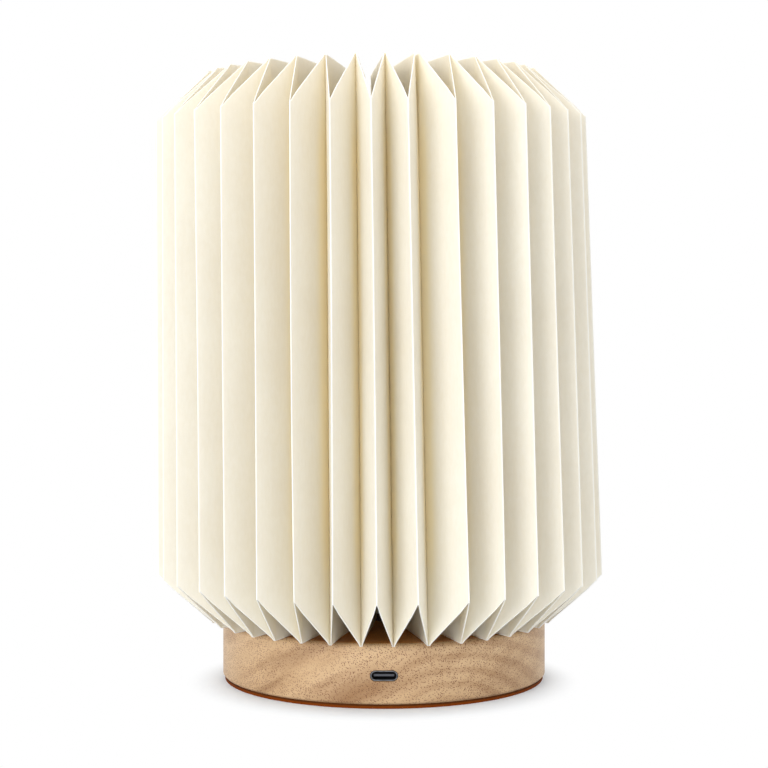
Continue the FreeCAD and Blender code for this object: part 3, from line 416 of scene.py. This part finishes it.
def socket_material():
    """Steel that is grey on the rim, with painted shade inside the socket: dark and without metal sheen."""
    n = MaterialTree("socket_steel")
    behind_rim = n.calculate("SUBTRACT", n.axis("Y"), shell_low.y + RIM_DEPTH)
    # Past the rim the steel is painted dark and not metallic, as painted shade in the recess.
    painted_shade_share = n.calculate("DIVIDE", behind_rim, RIM_DEPTH, clamp=True)
    rim = n.ramp(n.noise(SCRATCH_SCALE, detail=2), RIM_TONES)
    n.set("Base Color", n.mix(painted_shade_share, rim, SOCKET_PAINTED_SHADE))
    n.set("Metallic", n.calculate("SUBTRACT", 1.0, painted_shade_share))
    n.set("Roughness", 0.35)
    return n.material


def plastic_material(name, colour, roughness, grain=600, strength=0.12):
    """Plain plastic, lacquer or foam with a fine speckle."""
    n = MaterialTree(name)
    speckle = n.noise(grain, roughness=0.55)
    n.set("Base Color", n.shaded(speckle, SPECKLE_SHADE, colour))
    rough = n.calculate("ADD", n.calculate("MULTIPLY", speckle, SPECKLE_ROUGHNESS), roughness)
    n.set("Roughness", rough)
    n.set("Normal", n.bump(speckle, strength=strength, distance=0.06 * MM))
    return n.material


def frosted_material():
    """Milky plastic that light enters."""
    n = MaterialTree("frosted_plastic")
    n.set("Base Color", n.ramp(n.noise(FROST_CLOUD_SCALE), FROST_CLOUDS))
    n.set("Roughness", 0.45)
    n.set("Subsurface Weight", 0.3)
    n.set("Subsurface Radius", FROST_DEPTHS)
    grain = n.noise(FROST_GRAIN_SCALE, detail=2)
    n.set("Normal", n.bump(grain, strength=0.1, distance=0.04 * MM))
    return n.material


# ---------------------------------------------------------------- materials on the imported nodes


def dress(material, *names):
    for name in names:
        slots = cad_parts[name].data.materials
        slots.clear()
        slots.append(material)


def dress_base():
    """The base as it is seen from outside: wood, board, socket and button."""
    dress(wood_material(), "base_body")
    dress(board_material(), "bottom_cover")
    dress(socket_material(), "usb_shell")
    dress(plastic_material("dark_insulator", srgb(72, 74, 82), 0.4), "usb_tongue", "charge_chip")
    dress(plastic_material("button_brown", srgb(92, 62, 42), 0.55), "switch_button")


def dress_inside():
    """What the base holds: screws, boards, cell, switch and leads."""
    steel = metal_material("screw_steel", srgb(196, 196, 200), 0.28)
    dress(steel, "cover_screws", "board_screws", "flange_screws")
    dress(plastic_material("switch_black", srgb(40, 40, 42), 0.45), "switch_body", "switch_plunger")
    lacquer = plastic_material("circuit_green", srgb(38, 96, 62), 0.35, grain=300)
    dress(lacquer, "main_board", "switch_board")
    dress(plastic_material("nylon_white", srgb(232, 231, 226), 0.45), "board_spacers", "lead_connectors")
    dress(plastic_material("ferrite", srgb(62, 62, 64), 0.7, grain=400, strength=0.3), "power_coil")
    dress(plastic_material("foam", srgb(66, 66, 70), 0.9, grain=350, strength=0.6), "battery_pad")
    dress(metal_material("cell_foil", srgb(190, 192, 198), 0.38), "battery_cell")
    insulation = plastic_material("lead_red", srgb(150, 34, 30), 0.45)
    dress(insulation, "battery_leads", "switch_leads", "led_leads")


def dress_column():
    """The light column: foot, frosted tube, cap and the strip inside."""
    dress(plastic_material("column_bronze", srgb(84, 54, 34), 0.45), "column_flange")
    dress(frosted_material(), "diffuser_tube")
    dress(plastic_material("column_white", srgb(233, 231, 224), 0.5), "tube_cap")
    dress(plastic_material("board_white", srgb(236, 237, 236), 0.35, grain=300), "led_board")
    dress(plastic_material("chip_yellow", srgb(236, 208, 96), 0.4, grain=900), "led_chips")


# ---------------------------------------------------------------- sizes of the pleated shade

PLEATS = 36
PAPER = 0.28 * MM
LAYER_GAP = 0.04 * MM
TIP_RADIUS = 60.0 * MM
CORE_RADIUS = 14.8 * MM
FRONT = -math.pi / 2

# A point's share of the way is up to 1 from the core to the tip and up to 2 from the tip to the fold.
CORE_WAY = 0.24
FOLD_WAY = 2.0
FIN_STEPS = 4
BEND_STEPS = 7
PANEL_STEPS = 4

# Levels go from 0, the foot, to 1, the top, with a narrow band at either end for the painted highlight on
# the cut edge.
ROWS = 28
EDGE_BAND = 0.0022
LEVELS = [0.0, EDGE_BAND, *[row / ROWS for row in range(1, ROWS)], 1 - EDGE_BAND, 1.0]

# The cut ends: trimmed back at the folds, set back at the core, and the lower one hangs at the tips.
TOP_TRIM = 16.6 * MM
LOW_TRIM = 15.9 * MM
TOP_DISH = 3.0 * MM
LOW_DISH = 1.0 * MM
TIP_DROOP = 0.6 * MM
DROOP_START = 0.965

# The soft bend at the tips reaches a little inward and further outward, least at the cut ends.
BEND_INWARD = 0.3 * MM
BEND_OUTWARD_ENDS = 1.8 * MM
BEND_OUTWARD_MIDDLE = 9.0 * MM
BEND_EASE = 0.16
FOLD_ROUND = 0.28 * MM
# The points that round a fold off: how far each stands back from the fold, and how much painted highlight
# its crease gets.
FOLD_SETBACKS = [(FOLD_ROUND * 2, 0.0), (FOLD_ROUND * 0.6, 1.0)]
SHARP_FROM = math.radians(28)

# How far the painted warm light of the valleys reaches, in shares of the way and of the height, and what is
# left of it.
PAINTED_VALLEY_LIGHT_REACH = 0.45
PAINTED_VALLEY_LIGHT_INSIDE = 0.15
FIN_PAINTED_LIGHT = 0.6
END_PAINTED_LIGHT = 0.4
END_PAINTED_LIGHT_REACH = 0.2

# How the real shade departs from a regular one, seen from the front.
TOP_FLARE = 0.985
LOW_FLARE = 1.015
LEAN_LOW = -1.3 * MM
LEAN_TOP = -4.7 * MM
CORE_LEAN_TOP = -5.7 * MM
CORE_LEAN_ROOM = 2.2 * MM
TOP_TILT = math.radians(0.7)
TOP_SAG = 1.2 * MM
# Turns of the fifteen folds that face the camera, in degrees from the front, at the top and the foot.
FRONT_FOLDS_TOP = [-68, -59, -49.4, -39.4, -29.4, -19.5, -9.5, 0.4, 9.3, 21.1, 31.7, 41.8, 51.5, 61, 70.5]
FRONT_FOLDS_LOW = [-70, -59.6, -49.1, -39.8, -30.3, -20.4, -11, -0.7, 8.9, 21.1, 30.9, 40.8, 50.7, 60, 70]
FOLD_RADIUS_JITTER = 0.4 * MM
FOLD_BOW_DEGREES = 0.25
TIP_JITTER = 0.5 * MM

# The seam lies in the valley after the first fold right of the front and opens towards the top.
SEAM_VALLEY = 1
SEAM_END_RADIUS = 20.5 * MM
SEAM_OPEN_TOP = 1.3 * MM
SEAM_OPEN_FROM = 0.82
SEAM_OPEN_INSIDE = 0.3
FILM_INNER = 24.0 * MM
FILM_WIDTH = 30.0 * MM
FILM_MARGIN = 4.0 * MM
FILM_STEPS = 6

# ---------------------------------------------------------------- turns of the folds


def spread(front_turns):
    """Turns of all folds: those seen from the front as given, the others evenly over the rest."""
    half = len(front_turns) // 2
    turns = {index - half: math.radians(turn) for index, turn in enumerate(front_turns)}
    others = PLEATS - len(front_turns)
    rest = FULL_TURN - (turns[half] - turns[-half])
    for step in range(1, others + 1):
        turns[half + step] = turns[half] + rest * step / (others + 1)
    for index in range(-half, 0):
        turns[index + PLEATS] = turns[index] + FULL_TURN
    return [turns[index] for index in range(PLEATS)]


def jitter(reach):
    """Small chance values, one for each pleat, up to a reach either way."""
    return [random.uniform(-reach, reach) for _ in range(PLEATS)]


random.seed(7)
folds_top = spread(FRONT_FOLDS_TOP)
folds_low = spread(FRONT_FOLDS_LOW)
fold_radius_jitter = jitter(FOLD_RADIUS_JITTER)
fold_bow = jitter(FOLD_BOW_DEGREES)
tip_jitter = jitter(TIP_JITTER)


def wrapped(turns, index):
    """A fold's turn, with whole turns added past either end of the list."""
    return turns[index % PLEATS] + FULL_TURN * (index // PLEATS)


def eased(share):
    """A share from 0 to 1 with soft ends."""
    share = min(1.0, max(0.0, share))
    return share * share * (3 - 2 * share)


def between(first, second, share):
    return first + (second - first) * share


def fold_turn(index, level):
    """A fold's turn from the front at a level."""
    bow = math.radians(fold_bow[index % PLEATS]) * math.sin(math.pi * level)
    return between(wrapped(folds_low, index), wrapped(folds_top, index), level) + bow


def valley_turn(index, level):
    """The turn of the valley after a fold at a level."""
    return (fold_turn(index, level) + fold_turn(index + 1, level)) / 2


def polar(radius, turn):
    return Vector((radius * math.cos(FRONT + turn), radius * math.sin(FRONT + turn), 0))


# ---------------------------------------------------------------- the sheet's path, seen from above


def bend_outward(level):
    """How far the soft bend reaches into the wall: little at the cut ends and more between them."""
    share = eased(level / BEND_EASE) * eased((1 - level) / BEND_EASE)
    return between(BEND_OUTWARD_ENDS, BEND_OUTWARD_MIDDLE, share)


def seam_share(way):
    """How much of the seam's opening a point has, at its share of the way from the core to the tip."""
    return eased((way - SEAM_OPEN_INSIDE) / (1 - SEAM_OPEN_INSIDE))


def seam_opening(level):
    """How far each of the seam's two layers stands off the middle at a level."""
    return eased((level - SEAM_OPEN_FROM) / (1 - SEAM_OPEN_FROM)) * SEAM_OPEN_TOP / 2


def bend_points(into, tip, out, way_in, way_out):
    """Points with their ways along the soft bend, a curve from the fin by the tip to the panel."""
    points = []
    for step in range(BEND_STEPS + 1):
        share = step / BEND_STEPS
        place = into * (1 - share) ** 2 + tip * 2 * share * (1 - share) + out * share**2
        way = between(way_in, 1, min(1, share * 2)) + (way_out - 1) * max(0.0, share * 2 - 1)
        points.append((place, way))
    return points


def half_wall(fold, side, level):
    """Points along the wall from the valley beside a fold to the fold, at one level.

    side is +1 for the valley after the fold and -1 for the one before it. Each point comes with its
    share of the way and the weight of the painted highlight on its crease.
    """
    valley = fold if side > 0 else fold - 1
    turn = valley_turn(valley, level)
    along = polar(1, turn)
    across = polar(1, turn + math.pi / 2) * -side
    seam = valley % PLEATS == SEAM_VALLEY
    opening = seam_opening(level) if seam else 0.0
    flare = between(LOW_FLARE, TOP_FLARE, level)
    tip_radius = (TIP_RADIUS + tip_jitter[valley % PLEATS]) * flare
    fold_radius = (SHADE_RADIUS + fold_radius_jitter[fold % PLEATS]) * flare

    def on_fin(radius):
        way = radius / tip_radius
        return along * radius + across * ((LAYER_GAP + PAPER) / 2 + opening * seam_share(way)), way

    start_radius = SEAM_END_RADIUS if seam else CORE_RADIUS + PAPER
    bend_start = tip_radius - BEND_INWARD
    into, way_in = on_fin(bend_start)
    tip, _ = on_fin(tip_radius)
    outer = polar(fold_radius, fold_turn(fold, level))
    towards = (outer - tip).normalized()
    way_out = 1 + bend_outward(level) / (outer - tip).length
    out = tip + towards * bend_outward(level)

    points = [on_fin(between(start_radius, bend_start, step / FIN_STEPS)) for step in range(FIN_STEPS)]
    points += bend_points(into, tip, out, way_in, way_out)
    for step in range(1, PANEL_STEPS):
        share = step / PANEL_STEPS
        points.append((between(out, outer, share), between(way_out, FOLD_WAY, share)))
    wall = [(place, way, 0.0) for place, way in points]
    return wall + [(outer - towards * setback, FOLD_WAY, crease_highlight) for setback, crease_highlight in FOLD_SETBACKS]


def sheet_points(level):
    """All points of the sheet at a level, from one side of the seam round to the other."""
    points = []
    first_fold = SEAM_VALLEY + 1
    last_fold = SEAM_VALLEY + PLEATS
    for fold in range(first_fold, last_fold + 1):
        points += half_wall(fold, -1, level)
        points += reversed(half_wall(fold, 1, level))
        if fold < last_fold:
            points.append((polar(CORE_RADIUS, valley_turn(fold, level)), CORE_WAY, 0.0))
    return points


# ---------------------------------------------------------------- heights, lean and tint of the sheet


def end_heights(way):
    """How far the sheet's lower and upper edge lie inside the full height at a share of the way."""
    if way <= 1:
        inward = (1 - way) / (1 - CORE_RADIUS / TIP_RADIUS)
        droop = TIP_DROOP * eased((way - DROOP_START) / (1 - DROOP_START))
        return LOW_DISH * inward - droop, TOP_DISH * inward
    return LOW_TRIM * (way - 1) - TIP_DROOP * (FOLD_WAY - way), TOP_TRIM * (way - 1)


def core_lean(level):
    """The lean of the inner folds, which have little room beside the light column."""
    over_column = SHADE_FLOOR + level * SHADE_HEIGHT - cap_high.z
    freed = max(0.0, over_column) / (shade_high.z - cap_high.z)
    room = between(CORE_LEAN_ROOM, -CORE_LEAN_TOP, freed)
    return max(between(LEAN_LOW, CORE_LEAN_TOP, level), -room)


def settle(place, level, height):
    """Leans and tilts a point as the real shade does, at its height over the shade's foot."""
    from_core = (math.hypot(place.x, place.y) - CORE_RADIUS) / (TIP_RADIUS - CORE_RADIUS)
    lean = between(core_lean(level), between(LEAN_LOW, LEAN_TOP, level), eased(from_core))
    rise = place.x * math.tan(TOP_TILT) * level
    sag = TOP_SAG * (place.x / SHADE_RADIUS) ** 2 * level
    return Vector((place.x + lean, place.y, SHADE_FLOOR + height + rise - sag))


def painted_valley_light(way, level):
    """How much painted warm light the paper gets: most at the valley, less on the hidden fins and at the
    cut ends.
    """
    if way > 1:
        painted_light = 1 - eased((way - 1) / PAINTED_VALLEY_LIGHT_REACH)
    else:
        painted_light = between(1, FIN_PAINTED_LIGHT, eased((1 - way) / PAINTED_VALLEY_LIGHT_INSIDE))
    from_end = min(level, 1 - level)
    return painted_light * between(END_PAINTED_LIGHT, 1, eased(from_end / END_PAINTED_LIGHT_REACH))


# ---------------------------------------------------------------- paper shade and seam film


def lay_sheet(name, mesh, rows, thickness, material):
    """Joins neighbouring rows of points with faces and gives the sheet its thickness."""
    for low_row, high_row in zip(rows, rows[1:]):
        for index in range(len(low_row) - 1):
            corners = low_row[index], low_row[index + 1], high_row[index + 1], high_row[index]
            mesh.faces.new(corners)
    data = bpy.data.meshes.new(name)
    mesh.normal_update()
    mesh.to_mesh(data)
    mesh.free()
    for face in data.polygons:
        face.use_smooth = True
    data.set_sharp_from_angle(angle=SHARP_FROM)
    data.materials.append(material)
    sheet = bpy.data.objects.new(name, data)
    scene.collection.objects.link(sheet)
    thick = sheet.modifiers.new("thickness", "SOLIDIFY")
    thick.thickness = thickness
    thick.offset = 0
    thick.use_even_offset = False
    return sheet


def build_shade(material):
    """The folded sheet, with its painted valley light and painted crease highlight kept at each point."""
    mesh = bmesh.new()
    crease_highlight_layer = mesh.verts.layers.float.new("crease_highlight")
    painted_valley_light_layer = mesh.verts.layers.float.new("valley")
    rows = []
    for level in LEVELS:
        cut_edge = level in (LEVELS[0], LEVELS[-1])
        row = []
        for place, way, crease_highlight in sheet_points(level):
            low, top = end_heights(way)
            height = between(low, SHADE_HEIGHT - top, level)
            vertex = mesh.verts.new(settle(place, level, height))
            # Rows at the cut edges get the painted highlight in full.
            vertex[crease_highlight_layer] = 1.0 if cut_edge else crease_highlight
            vertex[painted_valley_light_layer] = painted_valley_light(way, level)
            row.append(vertex)
        rows.append(row)
    shade = lay_sheet("paper_shade", mesh, rows, PAPER, material)
    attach(shade, "shade")
    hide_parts("shade_sheet")


def build_seam_film(material):
    """The clear strip that joins the sheet's ends and clings to the seam's layer on the left."""
    mesh = bmesh.new()
    rows = []
    for row_index in range(ROWS + 1):
        height = between(FILM_MARGIN, SHADE_HEIGHT - FILM_MARGIN, row_index / ROWS)
        level = height / SHADE_HEIGHT
        turn = valley_turn(SEAM_VALLEY, level)
        row = []
        for step in range(FILM_STEPS + 1):
            radius = FILM_INNER + FILM_WIDTH * step / FILM_STEPS
            aside = seam_opening(level) * seam_share(radius / TIP_RADIUS)
            place = polar(radius, turn) - polar(aside, turn + math.pi / 2)
            row.append(mesh.verts.new(settle(place, level, height)))
        rows.append(row)
    film = lay_sheet("seam_film", mesh, rows, LAYER_GAP, material)
    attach(film, "shade")
    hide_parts("seam_tape")


# ---------------------------------------------------------------- floor, backdrop and light

WHITE = (1.0, 1.0, 1.0)
FLOOR_SIDE = 8
FLOOR_COLOUR = srgb(234, 240, 247)
# The floor fades to white between these radii, from a middle that lies a little in front.
WHITE_NEAR = 0.052
WHITE_FAR = 0.070
SHADE_FORWARD = 0.008
WORLD_LEVEL = 1.06
# Light that has to find its way out of the deep pleats needs more turns than the default.
LIGHT_TURNS = 10
LAMP_AIM = Vector((0, 0, 0.12))
# Each lamp's name, place, side, power in watts and colour.
LAMPS = [
    ("key", (-0.72, -1.15, 0.48), 0.7, 8.0, WHITE),
    ("fill", (0.9, -1.0, 0.45), 0.9, 1.0, (1.0, 0.95, 0.87)),
    ("top", (0.0, 0.1, 1.3), 0.8, 6.0, WHITE),
]


def make_floor():
    """A pale floor, which fades to plain white away from the lamp wherever it is looked at."""
    bpy.ops.mesh.primitive_plane_add(size=FLOOR_SIDE, location=(0, 0, cad_low.z))
    floor = bpy.context.object
    floor.name = "floor"
    n = MaterialTree("floor")
    n.set("Base Color", FLOOR_COLOUR)
    n.set("Roughness", 0.9)
    n.set("Specular IOR Level", 0.0)
    reach = n.add("ShaderNodeVectorMath", operation="LENGTH")
    n.link(n.mapping(scale=(1, 1, 0), shift=(0, SHADE_FORWARD, 0)), reach.inputs[0])
    past = n.calculate("SUBTRACT", reach.outputs["Value"], WHITE_NEAR)
    share = n.calculate("DIVIDE", past, WHITE_FAR - WHITE_NEAR)
    far = n.ramp(share, [(0.0, 0.0), (1.0, 1.0)], smooth=True)
    glow = n.add("ShaderNodeEmission")
    n.put(glow.inputs["Color"], WHITE)
    n.blend(n.calculate("MULTIPLY", n.watching_rays(), far), glow.outputs["Emission"])
    floor.data.materials.append(n.material)


def make_world():
    """A white backdrop, which lights the scene a little more brightly than it looks."""
    world = bpy.data.worlds.new("world")
    world.use_nodes = True
    n = Tree(world.node_tree)
    background = n.tree.nodes["Background"]
    strength = n.add("ShaderNodeMapRange")
    n.link(n.watching_rays(), strength.inputs["Value"])
    n.put(strength.inputs["To Min"], WORLD_LEVEL)
    n.put(strength.inputs["To Max"], 1.0)
    n.link(strength.outputs["Result"], background.inputs["Strength"])
    n.put(background.inputs["Color"], WHITE)
    scene.world = world


def make_lamp(name, place, side, watts, colour):
    data = bpy.data.lights.new(name, "AREA")
    data.shape = "SQUARE"
    data.size = side
    data.energy = watts
    data.color = colour
    lamp = bpy.data.objects.new(name, data)
    lamp.location = place
    lamp.rotation_euler = (LAMP_AIM - Vector(place)).to_track_quat("-Z", "Y").to_euler()
    scene.collection.objects.link(lamp)


make_camera()
dress_base()
dress_inside()
dress_column()
build_shade(paper_material())
build_seam_film(plastic_material("tape_film", srgb(226, 220, 204), 0.4))
make_floor()
make_world()
for lamp_values in LAMPS:
    make_lamp(*lamp_values)
scene.cycles.diffuse_bounces = LIGHT_TURNS
scene.view_settings.view_transform = "Standard"
